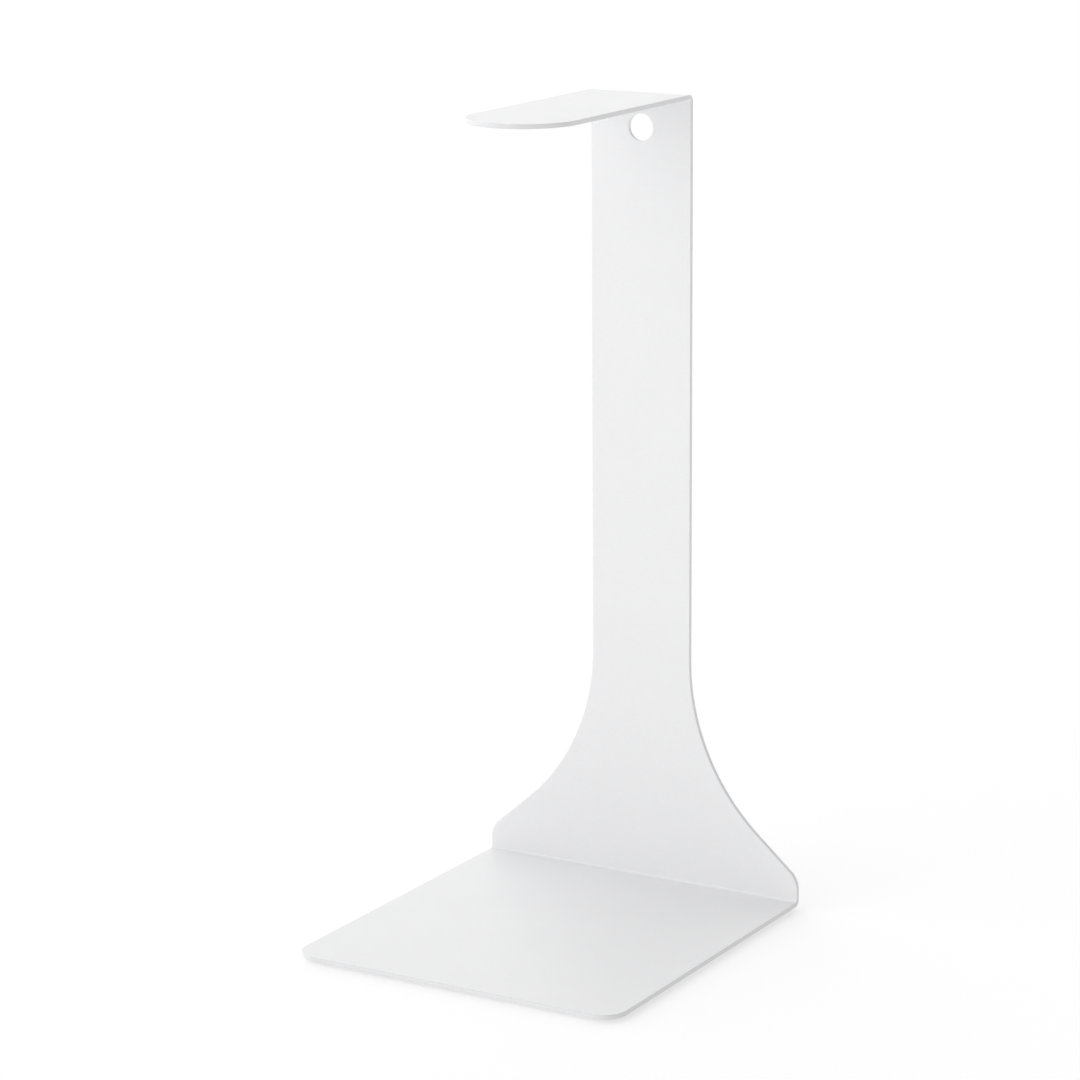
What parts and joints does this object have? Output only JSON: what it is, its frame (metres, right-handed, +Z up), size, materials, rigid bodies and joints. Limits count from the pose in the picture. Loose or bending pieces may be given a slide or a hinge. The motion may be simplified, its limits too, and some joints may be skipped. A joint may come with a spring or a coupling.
{
  "type": "headphone stand",
  "caption": "Headphone stand folded from a single sheet of white powder-coated steel, with a wide base plate, a flared upright, a round-nosed arm and a cable hole.",
  "frame": {"origin": "on the desk surface, at the middle of the stand's width and of its depth", "axes": "+Z up; the base plate and the arm point forwards along -Y from the upright, which stands at +Y; +X to the right of someone who faces the stand from the front"},
  "size_m": [0.133, 0.14, 0.301],
  "materials": {
    "white_powder_coat": "satin-matt white powder coat with a fine orange peel",
    "grey_rubber": "soft matt grey rubber, self-adhesive"
  },
  "bodies": {
    "root": {"folded_sheet_body": "white_powder_coat", "anti_slip_pad_front_left": "grey_rubber", "anti_slip_pad_front_right": "grey_rubber", "anti_slip_pad_back_left": "grey_rubber", "anti_slip_pad_back_right": "grey_rubber"}
  },
  "joints": []
}
